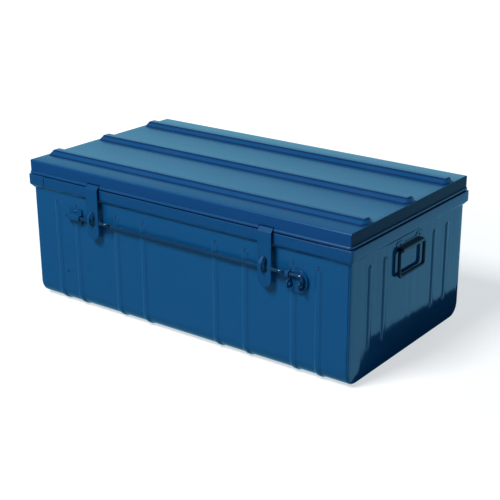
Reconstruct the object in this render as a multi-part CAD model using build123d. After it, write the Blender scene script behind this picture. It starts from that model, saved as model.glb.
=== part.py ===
from build123d import *
import os

# Ribbed sheet-steel trunk with a hinged lid, two hasps, one sliding lock bar and two drop handles.
# Millimetres. X runs along the length, Y to the back, Z up. The trunk stands on the flat crests of
# the ribs that cross its underside. It is modelled about the middle of its body, and written out
# about the middle of its whole depth, hasps and hinges included.

os.makedirs("parts", exist_ok=True)

# ---------------------------------------------------------------- driving dimensions
sheet = 1.0                 # steel sheet of the body and the lid
body_length = 796.0         # over the end panels
body_depth = 434.0          # over the front and back panels
rim_top = 276.2             # top of the end rim strips above the floor
bend_radius = 29.5          # outer bend between front, bottom and back
tray_flange = 16.0          # depth of the end panels' flange
tray_corner = 3.0           # rounding round the face of an end panel

rib_height = 2.2            # pressed ribs of the body
rib_base = 17.0
rib_crest = 6.0
groove_overcut = 0.2        # how far the cut of a rib's hollow starts inside the sheet
groove_crest_cut = 0.8      # how much narrower the hollow's crest is than the rib's
wrap_rib_top_gap = 25.2     # from the rim strips down to the middle of a wrap rib's round end
end_rib_top_gap = 17.4      # and down to the tops of the end ribs
end_rib_rise = 22.3         # from the body's lower bend up to the feet of the end ribs
wrap_rib_insets = (67.0, 122.0, 234.0, 306.0)    # from the faces of the end panels
end_rib_insets = (69.0, 122.0)                   # from the front and back panels
rim_height = 30.0           # whole height of a rim strip
rim_slope = 8.0             # height of its sloping lower edge
rim_proud = 7.5             # how far an end strip stands out of the panel
rim_corner = 4.0
rim_lap = 36.0              # length of an end strip round each corner
rim_foot = 0.01             # how far a strip's lower edge stands out of the panel
cut_margin = 20.0           # how far a cutting block reaches past what it cuts

lid_over_ends = 2.0         # how far the lid stands out over the end panels
lid_over_sides = 4.5        # and over the front and back panels
lid_skirt = 27.0            # from the lid's edge wire up to its flat top
lid_gap = 1.0               # from the rim strips up to the closed lid's edge
lid_edge_bend = 3.0
lid_rib_height = 9.5
lid_rib_base = 46.0
lid_rib_crest = 16.0
lid_rib_pitch = 154.0
lid_rib_bend = 2.0
lid_rib_draft = 0.56        # how far each side of a rib draws in for each unit of sheet
lid_tab = 12.0              # welding flange of a lid end
lid_tab_side = 4.0          # width of that flange beside a rib
edge_wire_radius = 1.75
edge_roll_radius = 3.0      # outside of the edge rolled round the wire
edge_corner = 4.0
edge_straight = 2.0         # length of an end's rolled edge past its corner bend
running_gap = 0.06          # radial clearance of a turning fit
seat_gap = 0.3              # gap between pieces that slide past each other
hole_gap = 0.05             # radial clearance of a rivet in its hole

hasp_inset = 180.0          # from the faces of the end panels
hasp_width = 31.0
hasp_sheet = 1.8
hasp_gap = 0.4              # between the bar and the strap in front of it
hasp_below_bar = 36.2       # from the bar down to the strap's tip
hasp_slot_width = 15.0
hasp_slot_shift = -0.5      # the slot is a little left of the strap's middle
hasp_slot_low = 7.9         # from the bar down to the slot's lower end
hasp_slot_high = 24.1       # from the bar up to its upper end
hasp_slot_left = 2.0        # corner radius at the slot's left side
hasp_slot_right = 7.0       # and at its right side
hasp_notch_gap = 2.0        # side play of the hasp's eye in the lid's edge
hasp_notch_rise = 5.4       # height of that notch over the edge wire, so the hasp lifts to level
bridge_width = 6.0
bridge_shift = -3.5         # the bridge crosses the slot near its left side
bridge_room = 0.7           # play of a finger inside the bridge
bridge_over = 4.8           # straight part of the bridge above a finger
bridge_under = 3.3          # and below it
bridge_foot = 1.5           # overlap of the bridge and the strap

bar_radius = 3.5
bar_drop = 41.8             # from the rim strips down to the bar
bar_left_inset = 99.0
bar_travel = 22.0
finger_radius = 3.2
finger_rise = 5.0           # height of a finger above the bar
finger_length = 22.0
finger_bend = 5.0
finger_gap = 1.2            # from a strap's side to a finger with the bar drawn right
finger_lift = 0.8           # from a strap's front to the finger that slides over it
leg_inset = 10.0            # from the padlock plate's right end to the bar's bent leg
leg_bend = 7.0
leg_drop = 12.4             # length of the leg below the bar
tab_thickness = 3.5
tab_width = 15.0
tab_height = 17.0
tab_corner = 6.0
lock_hole_radius = 3.75
lock_hole_drop = 17.4       # from the bar down to the padlock holes
lug_thickness = 2.4

plate_sheet = 1.5
plate_length = 46.0
plate_half_height = 22.5
plate_drop = 12.0           # from the bar down to the middle of the plate
plate_rim_width = 2.6
plate_rim_height = 1.2
plate_lap = 0.6             # the right guide stands out of the plate's left end
plate_rivet_rise = 17.5     # from the middle of the plate to its rivets on the rib
plate_tip_rivet = (16.0, 15.4)    # from its right end, and below its middle
guide_sheet = 1.5
guide_bend = 1.4
guide_right_width = 8.0
guide_right_foot = 5.6      # height of its feet
guide_left_width = 34.0
guide_left_foot = 12.0

hinge_inset = 163.0         # from the faces of the end panels
hinge_width = 60.0
hinge_sheet = 1.5
hinge_bend = 1.6
hinge_pin_radius = 2.0
knuckle_radius = 3.5
knuckle_count = 5
knuckle_gap = 0.3
pin_head_radius = 3.0
pin_head = 1.2
body_leaf_drop = 22.5       # from the hinge axis to the lower edge of the body leaf
lid_leaf_rise = 25.5        # from the hinge axis to the upper edge of the lid leaf
leaf_joggle = 3.0           # height over which a leaf steps in to its seat
hinge_rivet_side = 20.0     # from the middle of a leaf to its rivets
hinge_rivet_edge = 5.5      # from a leaf's edge to its rivets

handle_shift = -5.0         # middle of a handle, from the middle of the body
handle_drop = 21.5          # from the rim strips down to the bail's pivot axis
handle_top_gap = 4.0        # from the rim strips down to the handle plate
handle_sheet = 1.2
handle_half_width = 50.0
handle_ear = 20.0           # width of an ear of the plate
handle_ear_rise = 6.0       # height of the ears over the middle of the plate
handle_ear_slope = 8.0      # width of the slope beside an ear
handle_ear_corner = 4.0
handle_skirt = 4.0          # from the pivot axis down to the plate's lower edge
handle_rivet_side = 37.0    # from the middle of a handle to its rivets
handle_rivet_rise = 11.0    # from the pivot axis up to them
bail_radius = 3.5
bail_offset = 6.2           # pivot axis in front of the end panel
bail_half_width = 47.5
bail_drop = 52.0
bail_bend = 7.0
bail_end = 22.0             # from the middle of the sleeve to each end of the bail
sleeve_half_length = 40.0

rivet_radius = 1.5
rivet_head_radius = 3.0
rivet_head = 1.5
rivet_tail = 0.9
rivet_tail_radius = 2.4

# ---------------------------------------------------------------- derived places
half_length = body_length / 2
half_depth = body_depth / 2
underside = rib_height                       # lower face of the bottom panel
wrap_half = half_length - tray_corner - sheet
wrap_top = rim_top - 2 * sheet
end_top = rim_top - sheet
rim_bottom = rim_top - rim_height
wrap_rib_top = rim_bottom - wrap_rib_top_gap
end_rib_top = rim_bottom - end_rib_top_gap
end_rib_bottom = underside + bend_radius + end_rib_rise
wrap_rib_places = [half_length - inset for inset in wrap_rib_insets]
end_rib_places = [half_depth - inset for inset in end_rib_insets]
lid_half_length = half_length + lid_over_ends
lid_half_depth = half_depth + lid_over_sides
edge_wire_z = rim_top + lid_gap + edge_roll_radius
lid_top = edge_wire_z + lid_skirt
edge_split = lid_half_length - edge_corner - edge_straight   # where the ends' rolled edge stops
front = -half_depth                          # outer face of the front panel
plate_back_y = front - rib_height
plate_front_y = plate_back_y - plate_sheet
bar_y = plate_front_y - seat_gap - bar_radius
bar_z = rim_bottom - bar_drop
hasp_place = half_length - hasp_inset
hasp_back_y = bar_y - bar_radius - hasp_gap
hasp_mid_y = hasp_back_y - hasp_sheet / 2
hasp_front_y = hasp_back_y - hasp_sheet
hasp_tip_z = bar_z - hasp_below_bar
slot_low = bar_z - hasp_slot_low
slot_high = bar_z + hasp_slot_high
finger_y = hasp_front_y - finger_lift - finger_radius
finger_z = bar_z + finger_rise
bridge_mid_y = finger_y - finger_radius - bridge_room - hasp_sheet / 2
eye_radius = edge_wire_radius + running_gap + hasp_sheet
finger_reach = hasp_width / 2 + finger_gap + finger_length + 2 * finger_radius
guide_right_place = hasp_place + finger_reach + seat_gap + guide_right_width / 2
plate_left = guide_right_place - guide_right_width / 2 + plate_lap
plate_right = plate_left + plate_length
plate_z = bar_z - plate_drop
leg_place = plate_right - leg_inset          # with the bar drawn right
leg_bottom_z = bar_z - leg_drop
lock_hole_y = plate_front_y - seat_gap - tab_width / 2
lock_hole_z = bar_z - lock_hole_drop
bar_left_end = -half_length + bar_left_inset
outer_rib = wrap_rib_places[1]               # the rib behind the plate and the left guide
hinge_place = half_length - hinge_inset
hinge_y = lid_half_depth + edge_roll_radius + knuckle_radius + hole_gap
hinge_z = (rim_top + edge_wire_z - edge_roll_radius) / 2
handle_z = rim_bottom - handle_drop
bail_x = half_length + bail_offset
front_reach = bridge_mid_y - hasp_sheet / 2
back_reach = hinge_y + knuckle_radius
centring = -(front_reach + back_reach) / 2


# ---------------------------------------------------------------- small tools
def block(x0, x1, y0, y1, z0, z1):
    """Box between two corners."""
    size = Box(x1 - x0, y1 - y0, z1 - z0)
    return Pos((x0 + x1) / 2, (y0 + y1) / 2, (z0 + z1) / 2) * size


def side_plane(x):
    """Plane across the trunk at x, with its own x along Y and its own y along Z."""
    return Plane(origin=(x, 0, 0), x_dir=(0, 1, 0), z_dir=(1, 0, 0))


def strip(points, thickness, x_mid, width, bend):
    """Sheet strip of even thickness along a bent line of (y, z) points, extruded along X."""
    line = FilletPolyline(*points, radius=bend) if len(points) > 2 else Polyline(*points)
    outline = trace(line, line_width=thickness)
    return side_plane(x_mid) * extrude(outline, width / 2, both=True)


def rod_x(radius, x0, x1, y, z):
    """Round bar along X."""
    return Pos((x0 + x1) / 2, y, z) * Rot(0, 90, 0) * Cylinder(radius, x1 - x0)


def rod_y(radius, y0, y1, x, z):
    """Round bar along Y."""
    return Pos(x, (y0 + y1) / 2, z) * Rot(90, 0, 0) * Cylinder(radius, y1 - y0)


def both_ends(shape):
    """The shape of the right end, and its mirror image for the left end."""
    return {"right": shape, "left": mirror(shape, about=Plane.YZ)}


def rivet(place, outward, grip):
    """Round-headed rivet: place is on the outer surface, and grip is what it passes through."""
    cap_radius = (rivet_head_radius ** 2 + rivet_head ** 2) / (2 * rivet_head)
    head = Pos(0, 0, rivet_head - cap_radius) * Sphere(cap_radius)
    head &= Pos(0, 0, rivet_head) * Box(4 * rivet_head_radius, 4 * rivet_head_radius, 2 * rivet_head)
    shank = Pos(0, 0, -grip / 2) * Cylinder(rivet_radius, grip + 2 * hole_gap)
    tail = Pos(0, 0, -grip - rivet_tail / 2) * Cylinder(rivet_tail_radius, rivet_tail)
    return Plane(origin=place, z_dir=outward) * (head + shank + tail)


def rivet_hole(place, outward, grip):
    """Hole for a rivet through everything it grips."""
    hole = Pos(0, 0, -grip / 2) * Cylinder(rivet_radius + hole_gap, grip + 2 * sheet)
    return Plane(origin=place, z_dir=outward) * hole


def drill(shape, rivets):
    """The shape with a hole for each rivet in the list."""
    for spot in rivets:
        shape -= rivet_hole(*spot)
    return shape


# ---------------------------------------------------------------- rivet places
front_out = (0, -1, 0)
back_out = (0, 1, 0)
rib_grip = plate_sheet + sheet               # a plate on a rib
gap_grip = rib_grip + rib_height             # a plate beside a rib
plate_rivets = [
    ((outer_rib, plate_front_y, plate_z + plate_rivet_rise), front_out, rib_grip),
    ((outer_rib, plate_front_y, plate_z - plate_rivet_rise), front_out, rib_grip),
    ((plate_right - plate_tip_rivet[0], plate_front_y, plate_z - plate_tip_rivet[1]),
     front_out, gap_grip),
]
guide_rivet_rise = bar_radius + seat_gap + guide_sheet + guide_left_foot / 2
guide_rivets = [
    ((-outer_rib, plate_back_y - guide_sheet, bar_z + sign * guide_rivet_rise), front_out, rib_grip)
    for sign in (-1, 1)
]
body_leaf_face = half_depth + rim_proud - sheet + hinge_sheet
lid_leaf_face = lid_half_depth + hinge_sheet
body_leaf_rivet_z = hinge_z - body_leaf_drop + hinge_rivet_edge
lid_leaf_rivet_z = hinge_z + lid_leaf_rise - hinge_rivet_edge
hinge_grip = hinge_sheet + sheet
hinge_rivets_body = {}
hinge_rivets_lid = {}
for side, place in (("right", hinge_place), ("left", -hinge_place)):
    across = (place - hinge_rivet_side, place + hinge_rivet_side)
    hinge_rivets_body[side] = [((x, body_leaf_face, body_leaf_rivet_z), back_out, hinge_grip)
                               for x in across]
    hinge_rivets_lid[side] = [((x, lid_leaf_face, lid_leaf_rivet_z), back_out, hinge_grip)
                              for x in across]
handle_rivets = [
    ((half_length + handle_sheet, handle_shift + sign * handle_rivet_side,
      handle_z + handle_rivet_rise), (1, 0, 0), handle_sheet + sheet)
    for sign in (-1, 1)
]


# ---------------------------------------------------------------- body
def wrap_rib(low, high, base, crest):
    """One rib that runs right round the wrap at x = 0, between two heights off the outer face."""
    side = half_depth
    path = FilletPolyline(
        (-side, wrap_rib_top), (-side, underside), (side, underside), (side, wrap_rib_top),
        radius=bend_radius
    )
    path = side_plane(0) * path
    start = Plane(origin=(0, -side, wrap_rib_top), x_dir=(1, 0, 0), z_dir=(0, 0, -1))
    section = make_face(Polyline(
        (-base / 2, low), (-crest / 2, high), (crest / 2, high), (base / 2, low), close=True
    ))
    rib = sweep(start * section, path=path)
    for sign in (-1, 1):
        outward = Plane(origin=(0, sign * (side + (low + high) / 2), wrap_rib_top), z_dir=(0, sign, 0))
        rib += outward * Cone(base / 2, crest / 2, high - low)
    return rib


def body_wrap():
    """Front, bottom and back in one bent sheet, with ribs pressed outward."""
    side = half_depth - sheet / 2
    low = underside + sheet / 2
    wrap = strip(
        [(-side, wrap_top), (-side, low), (side, low), (side, wrap_top)],
        sheet, 0, 2 * wrap_half, bend_radius - sheet / 2
    )
    rib = wrap_rib(-sheet / 2, rib_height, rib_base, rib_crest)
    groove = wrap_rib(-sheet - groove_overcut, rib_height - sheet, rib_base - sheet,
                      rib_crest - groove_crest_cut)
    places = [sign * place for place in wrap_rib_places for sign in (-1, 1)]
    wrap += [Pos(place, 0, 0) * rib for place in places]
    wrap -= [Pos(place, 0, 0) * groove for place in places]
    wrap = drill(wrap, plate_rivets + guide_rivets)
    return wrap


def tray_face(inset):
    """Outline of an end panel that fits inside the wrap."""
    side = half_depth - sheet - inset
    low = underside + sheet + inset
    line = FilletPolyline(
        (-side, end_top), (-side, low), (side, low), (side, end_top),
        radius=bend_radius - sheet - inset
    )
    return make_face(line + Line((side, end_top), (-side, end_top)))


def tray_solid(inset, rounding):
    """Solid of an end panel's outside or inside, with its face edge rounded."""
    depth = tray_flange - inset
    solid = side_plane(half_length - tray_flange) * extrude(tray_face(inset), depth)
    rim = [e for e in solid.faces().sort_by(Axis.X)[-1].edges() if e.center().Z < end_top - sheet]
    return fillet(rim, rounding)


def end_rib(low, high, base, crest):
    """One straight pressed rib of an end panel, at y = 0."""
    length = end_rib_top - end_rib_bottom
    middle = (end_rib_top + end_rib_bottom) / 2
    bottom = SlotOverall(length, base, rotation=90)
    top = SlotOverall(length - base + crest, crest, rotation=90)
    base_plane = side_plane(half_length + low)
    top_plane = side_plane(half_length + high)
    return loft([base_plane * Pos(0, middle) * bottom, top_plane * Pos(0, middle) * top])


def end_panel():
    """Right end panel: a pressed tray with four ribs."""
    panel = tray_solid(0, tray_corner) - tray_solid(sheet, tray_corner - sheet)
    rib = end_rib(-sheet / 2, rib_height, rib_base, rib_crest)
    groove = end_rib(-sheet - groove_overcut, rib_height - sheet, rib_base - sheet,
                     rib_crest - groove_crest_cut)
    places = [sign * place for place in end_rib_places for sign in (-1, 1)]
    panel += [Pos(0, place, 0) * rib for place in places]
    panel -= [Pos(0, place, 0) * groove for place in places]
    return drill(panel, handle_rivets)


# ---------------------------------------------------------------- rim strips
def rim_block(proud, top):
    """Solid inside the outer skin of a rim strip, all round the body."""
    def outline(out, radius):
        return RectangleRounded(body_length + 2 * out, body_depth + 2 * out, radius)
    radius = rim_corner - rim_proud + proud
    slope_top = rim_bottom + rim_slope
    lower = loft([
        Pos(0, 0, rim_bottom) * outline(proud - rim_proud + rim_foot, radius),
        Pos(0, 0, slope_top) * outline(proud, radius),
    ])
    upper = Pos(0, 0, slope_top) * extrude(outline(proud, radius), top - slope_top)
    return lower + upper


def rim_ring(proud, top):
    """Folded channel of one sheet round the body's top edge."""
    ring = rim_block(proud, top) - rim_block(proud - sheet, top - sheet)
    core = Box(body_length, body_depth, 2 * (top - sheet - rim_bottom))
    opening = Box(body_length - 2 * sheet, body_depth - 2 * sheet, 4 * rim_height)
    ring -= Pos(0, 0, rim_bottom) * core
    ring -= Pos(0, 0, rim_bottom) * opening
    return ring


def rim_strip_ends():
    """Right end strip, lapped round both corners."""
    zone = block(half_length - rim_lap, half_length + cut_margin,
                 -half_depth - cut_margin, half_depth + cut_margin,
                 rim_bottom - cut_margin, rim_top + cut_margin)
    return rim_ring(rim_proud, rim_top) & zone


def rim_strip_side(sign):
    """Front or back strip, under the ends of the end strips."""
    near = sign * (half_depth - cut_margin)
    far = sign * (half_depth + cut_margin)
    reach = half_length - sheet - tray_corner
    zone = block(-reach, reach, min(near, far), max(near, far),
                 rim_bottom - cut_margin, rim_top + cut_margin)
    return rim_ring(rim_proud - sheet, rim_top - sheet) & zone


# ---------------------------------------------------------------- lid
def lid_profile(inset):
    """Points of the lid's section from the front edge to the back edge."""
    top = lid_top - inset
    side = lid_half_depth - inset
    shift = inset * lid_rib_draft
    points = [(-side, edge_wire_z), (-side, top)]
    for centre in (-lid_rib_pitch, 0.0, lid_rib_pitch):
        points += [
            (centre - lid_rib_base / 2 + shift, top),
            (centre - lid_rib_crest / 2 + shift, top + lid_rib_height),
            (centre + lid_rib_crest / 2 - shift, top + lid_rib_height),
            (centre + lid_rib_base / 2 - shift, top),
        ]
    points += [(side, top), (side, edge_wire_z)]
    return points


def rolled_end():
    """Room for the rolled edge of a lid end, and all that lies under it."""
    below = block(edge_split, 2 * lid_half_length, -lid_half_length, lid_half_length,
                  edge_wire_z - 3 * edge_roll_radius, edge_wire_z)
    return edge_tube(edge_roll_radius, edge_split) + below


def lid_sheet():
    """Lid top with its ribs and its front and back skirts, whose edges are rolled round the wire."""
    points = lid_profile(sheet / 2)
    bends = [lid_rib_bend] * (len(points) - 2)
    bends[0] = lid_edge_bend - sheet / 2
    bends[-1] = lid_edge_bend - sheet / 2
    lid = strip(points, sheet, 0, 2 * (lid_half_length - sheet), bends)
    for side in (-lid_half_depth, lid_half_depth):
        lid += rod_x(edge_roll_radius, -edge_split, edge_split, side, edge_wire_z)
        lid -= rod_x(edge_wire_radius, -lid_half_length, lid_half_length, side, edge_wire_z)
    for corner in both_ends(rolled_end()).values():
        lid -= corner
    for place in (-hasp_place, hasp_place):
        half = hasp_width / 2 + hasp_notch_gap
        lid -= block(place - half, place + half,
                     -lid_half_depth - 2 * edge_roll_radius, -lid_half_depth + 2 * edge_roll_radius,
                     edge_wire_z - 2 * edge_roll_radius, edge_wire_z + hasp_notch_rise)
    for side in ("right", "left"):
        lid = drill(lid, hinge_rivets_lid[side])
    return lid


def lid_edge_path(half_x, half_y, open_at=None):
    """Axis of the lid's edge wire, whole or along the right end only."""
    if open_at is None:
        line = FilletPolyline((-half_x, -half_y), (half_x, -half_y), (half_x, half_y),
                              (-half_x, half_y), radius=edge_corner, close=True)
    else:
        line = FilletPolyline((open_at, -half_y), (half_x, -half_y), (half_x, half_y),
                              (open_at, half_y), radius=edge_corner)
    return Pos(0, 0, edge_wire_z) * line


def edge_tube(radius, open_at=None):
    """Round bar along the lid's lower edge."""
    path = lid_edge_path(lid_half_length, lid_half_depth, open_at)
    start = path @ 0
    section = Plane(origin=start, z_dir=path % 0) * Circle(radius)
    return sweep(section, path=path)


def lid_end():
    """Right lid end: skirt, three tabs that close the ribs, welding flanges and rolled edge."""
    rounding = [lid_edge_bend]
    for _ in range(3):
        rounding += [lid_rib_bend - sheet / 2, lid_rib_bend + sheet / 2] + \
                    [lid_rib_bend + sheet / 2, lid_rib_bend - sheet / 2]
    rounding.append(lid_edge_bend)
    points = lid_profile(0)
    outline = make_face(FilletPolyline(*points, radius=rounding) + Line(points[-1], points[0]))
    end = side_plane(lid_half_length - sheet) * extrude(outline, sheet)
    reach = lid_half_depth - lid_edge_bend - lid_tab_side
    clear = lid_rib_base / 2 + lid_tab_side
    lands = [-reach]
    for centre in (-lid_rib_pitch, 0.0, lid_rib_pitch):
        lands += [centre - clear, centre + clear]
    lands.append(reach)
    for y0, y1 in zip(lands[0::2], lands[1::2]):
        end += block(lid_half_length - sheet - lid_tab, lid_half_length - sheet / 2, y0, y1,
                     lid_top - 2 * sheet, lid_top - sheet)
    end += edge_tube(edge_roll_radius, edge_split)
    end -= edge_tube(edge_wire_radius, edge_split - edge_corner)
    return end


# ---------------------------------------------------------------- hasps and lock bar
def hasp(place):
    """Strap that hangs on the edge wire, with a slot and a bridge pressed out across it."""
    eye = rod_x(eye_radius, place - hasp_width / 2, place + hasp_width / 2,
                -lid_half_depth, edge_wire_z)
    shoulder = (hasp_mid_y, edge_wire_z - eye_radius - seat_gap)
    plate = strip([(-lid_half_depth - eye_radius + hasp_sheet / 2, edge_wire_z + hasp_sheet / 2),
                   shoulder, (hasp_mid_y, hasp_tip_z)], hasp_sheet, place, hasp_width, hasp_sheet * 1.5)
    round_z = hasp_tip_z + hasp_width / 2
    keep = rod_y(hasp_width / 2, hasp_front_y - hasp_sheet, hasp_back_y + hasp_sheet, place, round_z)
    keep += block(place - hasp_width, place + hasp_width, hasp_front_y - hasp_width,
                  -lid_half_depth + hasp_width, round_z, edge_wire_z + hasp_width)
    plate &= keep
    slot = Rectangle(hasp_slot_width, slot_high - slot_low)
    slot = fillet(slot.vertices().group_by(Axis.X)[0], hasp_slot_left)
    slot = fillet(slot.vertices().group_by(Axis.X)[-1], hasp_slot_right)
    front_plane = Plane(origin=(place + hasp_slot_shift, hasp_mid_y, (slot_low + slot_high) / 2),
                        x_dir=(1, 0, 0), z_dir=(0, -1, 0))
    plate -= front_plane * extrude(slot, 2 * hasp_sheet, both=True)
    over = finger_z + finger_radius + bridge_over
    under = finger_z - finger_radius - bridge_under
    bridge = strip([(hasp_mid_y, slot_high + bridge_foot), (hasp_mid_y, slot_high - bridge_foot),
                    (bridge_mid_y, over), (bridge_mid_y, under),
                    (hasp_mid_y, slot_low + bridge_foot), (hasp_mid_y, slot_low - bridge_foot)],
                   hasp_sheet, place + bridge_shift, bridge_width,
                   [hasp_sheet, finger_bend, finger_bend, hasp_sheet])
    strap = eye + plate + bridge
    strap -= rod_x(edge_wire_radius + running_gap, place - hasp_width, place + hasp_width,
                   -lid_half_depth, edge_wire_z)
    return strap


def lock_bar():
    """Sliding bar, bent down at the right and flattened into a tab with a padlock hole."""
    line = FilletPolyline((bar_left_end, bar_z), (leg_place, bar_z), (leg_place, leg_bottom_z),
                          radius=leg_bend)
    path = Plane(origin=(0, bar_y, 0), x_dir=(1, 0, 0), z_dir=(0, -1, 0)) * line
    start = Plane(origin=path @ 0, z_dir=path % 0) * Circle(bar_radius)
    bar = sweep(start, path=path)
    tab = block(leg_place - tab_thickness / 2, leg_place + tab_thickness / 2,
                lock_hole_y - tab_width / 2, lock_hole_y + tab_width / 2,
                lock_hole_z - tab_height / 2, lock_hole_z + tab_height / 2)
    tab = fillet(tab.edges().filter_by(Axis.X), tab_corner)
    bar += tab
    bar -= rod_x(lock_hole_radius, leg_place - tab_height, leg_place + tab_height,
                 lock_hole_y, lock_hole_z)
    return bar


def finger_tip(place):
    """x of a finger's free end with the bar drawn right."""
    return place + hasp_width / 2 + finger_gap


def bolt_finger(place):
    """Bent finger whose foot is welded to the bar."""
    tip = finger_tip(place)
    stem = tip + finger_length + finger_radius
    line = FilletPolyline((stem, bar_y, bar_z), (stem, finger_y, finger_z), (tip, finger_y, finger_z),
                          radius=finger_bend)
    start = Plane(origin=line @ 0, z_dir=line % 0) * Circle(finger_radius)
    finger = sweep(start, path=line)
    return finger - rod_x(bar_radius, tip, stem + finger_length, bar_y, bar_z)


def guide(base_y, x_mid, width, foot):
    """Saddle over the bar with a foot above and a foot below."""
    foot_y = base_y - guide_sheet / 2
    crown_y = bar_y - bar_radius - seat_gap - guide_sheet / 2
    room = bar_radius + seat_gap + guide_sheet / 2
    return strip([(foot_y, bar_z + room + foot), (foot_y, bar_z + room),
                  (crown_y, bar_z + room), (crown_y, bar_z - room),
                  (foot_y, bar_z - room), (foot_y, bar_z - room - foot)],
                 guide_sheet, x_mid, width, guide_bend)


def plate_outline(inset):
    """D-shaped outline of the padlock plate in (x, z)."""
    radius = plate_half_height - inset
    centre = plate_right - plate_half_height
    half = Pos(centre, plate_z) * Circle(radius)
    left = plate_left + inset
    return half + Pos((left + centre) / 2, plate_z) * Rectangle(centre - left, 2 * radius)


def padlock_plate():
    """D-shaped plate over the right rib, with a raised rim round its free end."""
    back = Plane(origin=(0, plate_back_y, 0), x_dir=(1, 0, 0), z_dir=(0, -1, 0))
    plate = back * extrude(plate_outline(0), plate_sheet)
    rim = extrude(plate_outline(0) - plate_outline(plate_rim_width), plate_sheet + plate_rim_height)
    rim = back * rim
    rim &= block(plate_right - plate_half_height, plate_right, front - plate_half_height, front,
                 plate_z - plate_half_height, plate_z + plate_half_height)
    return drill(plate + rim, plate_rivets)


def padlock_lug():
    """Fixed eye that the bar's tab meets when the bar is pushed to the left."""
    face = leg_place - bar_travel - bar_radius - seat_gap
    lug = block(face - lug_thickness, face, lock_hole_y - tab_width / 2, plate_front_y,
                lock_hole_z - tab_height / 2, lock_hole_z + tab_height / 2)
    outer = [e for e in lug.edges().filter_by(Axis.X) if e.center().Y < lock_hole_y]
    lug = fillet(outer, tab_corner)
    lug -= rod_x(lock_hole_radius, face - tab_height, face + tab_height, lock_hole_y, lock_hole_z)
    return lug


# ---------------------------------------------------------------- hinges
def knuckles(place, first):
    """Knuckle segments of one leaf, every second one from the first."""
    step = hinge_width / knuckle_count
    spans = []
    for index in range(first, knuckle_count, 2):
        start = place - hinge_width / 2 + index * step
        spans.append((start + knuckle_gap / 2, start + step - knuckle_gap / 2))
    return spans


def leaf(place, first, flat, tongue, bore):
    """Hinge leaf: flat part over the full width, and a tongue and a knuckle at each span."""
    shape = strip(flat, hinge_sheet, place, hinge_width, hinge_bend)
    for x0, x1 in knuckles(place, first):
        shape += strip(tongue, hinge_sheet, (x0 + x1) / 2, x1 - x0, 0)
        shape += rod_x(knuckle_radius, x0, x1, hinge_y, hinge_z)
    shape -= rod_x(bore, place - hinge_width, place + hinge_width, hinge_y, hinge_z)
    return shape


def body_leaf(side, place):
    """Leaf riveted to the back rim strip, whose knuckles grip the pin."""
    tongue_y = hinge_y - knuckle_radius + hinge_sheet / 2
    seat_y = body_leaf_face - hinge_sheet / 2
    clear = hinge_z - knuckle_radius - seat_gap
    step = clear - hinge_sheet
    flat = [(tongue_y, clear), (tongue_y, step), (seat_y, step - leaf_joggle),
            (seat_y, hinge_z - body_leaf_drop)]
    tongue = [(tongue_y, hinge_z), (tongue_y, clear - seat_gap)]
    return drill(leaf(place, 0, flat, tongue, hinge_pin_radius), hinge_rivets_body[side])


def lid_leaf(side, place):
    """Leaf riveted to the lid's back skirt, joggled over the rolled edge. It turns on the pin."""
    tongue_y = hinge_y - knuckle_radius + hinge_sheet / 2
    seat_y = lid_leaf_face - hinge_sheet / 2
    clear = hinge_z + knuckle_radius + seat_gap
    step = edge_wire_z + edge_roll_radius
    flat = [(tongue_y, clear), (tongue_y, step), (seat_y, step + leaf_joggle),
            (seat_y, hinge_z + lid_leaf_rise)]
    tongue = [(tongue_y, hinge_z), (tongue_y, clear + seat_gap)]
    bore = hinge_pin_radius + running_gap
    return drill(leaf(place, 1, flat, tongue, bore), hinge_rivets_lid[side])


def hinge_pin(place):
    """Pin with a head peened at each end."""
    half = hinge_width / 2
    pin = rod_x(hinge_pin_radius, place - half, place + half, hinge_y, hinge_z)
    for sign in (-1, 1):
        x0 = place + sign * half
        x1 = x0 + sign * pin_head
        pin += rod_x(pin_head_radius, min(x0, x1), max(x0, x1), hinge_y, hinge_z)
    return pin


# ---------------------------------------------------------------- handles
def handle_plate():
    """Right handle plate with two ears, rolled into a sleeve at its lower edge."""
    half = handle_half_width
    top = rim_bottom - handle_top_gap
    dip = top - handle_ear_rise
    low = handle_z - handle_skirt
    nick = handle_ear_corner
    ear = half - handle_ear
    foot = ear - handle_ear_slope
    outline = make_face(Polyline(
        (-half, low), (-half, top - nick), (-half + nick, top), (-ear, top), (-foot, dip),
        (foot, dip), (ear, top), (half - nick, top), (half, top - nick), (half, low), close=True
    ))
    plate = side_plane(half_length) * Pos(handle_shift, 0) * extrude(outline, handle_sheet)
    outer = bail_radius + running_gap + handle_sheet
    y0 = handle_shift - sleeve_half_length
    y1 = handle_shift + sleeve_half_length
    plate += rod_y(outer, y0, y1, bail_x, handle_z)
    plate += block(half_length, bail_x, y0, y1, handle_z + outer - handle_sheet, handle_z + outer)
    plate -= rod_y(bail_radius + running_gap, 2 * y0, 2 * y1, bail_x, handle_z)
    return drill(plate, handle_rivets)


def handle_bail():
    """Right bail, bent from round wire, with its ends inside the sleeve."""
    wide = bail_half_width
    line = FilletPolyline(
        (-bail_end, 0), (-wide, 0), (-wide, -bail_drop), (wide, -bail_drop), (wide, 0),
        (bail_end, 0), radius=bail_bend
    )
    path = side_plane(bail_x) * Pos(handle_shift, handle_z) * line
    start = Plane(origin=path @ 0, z_dir=path % 0) * Circle(bail_radius)
    return sweep(start, path=path)


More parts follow.
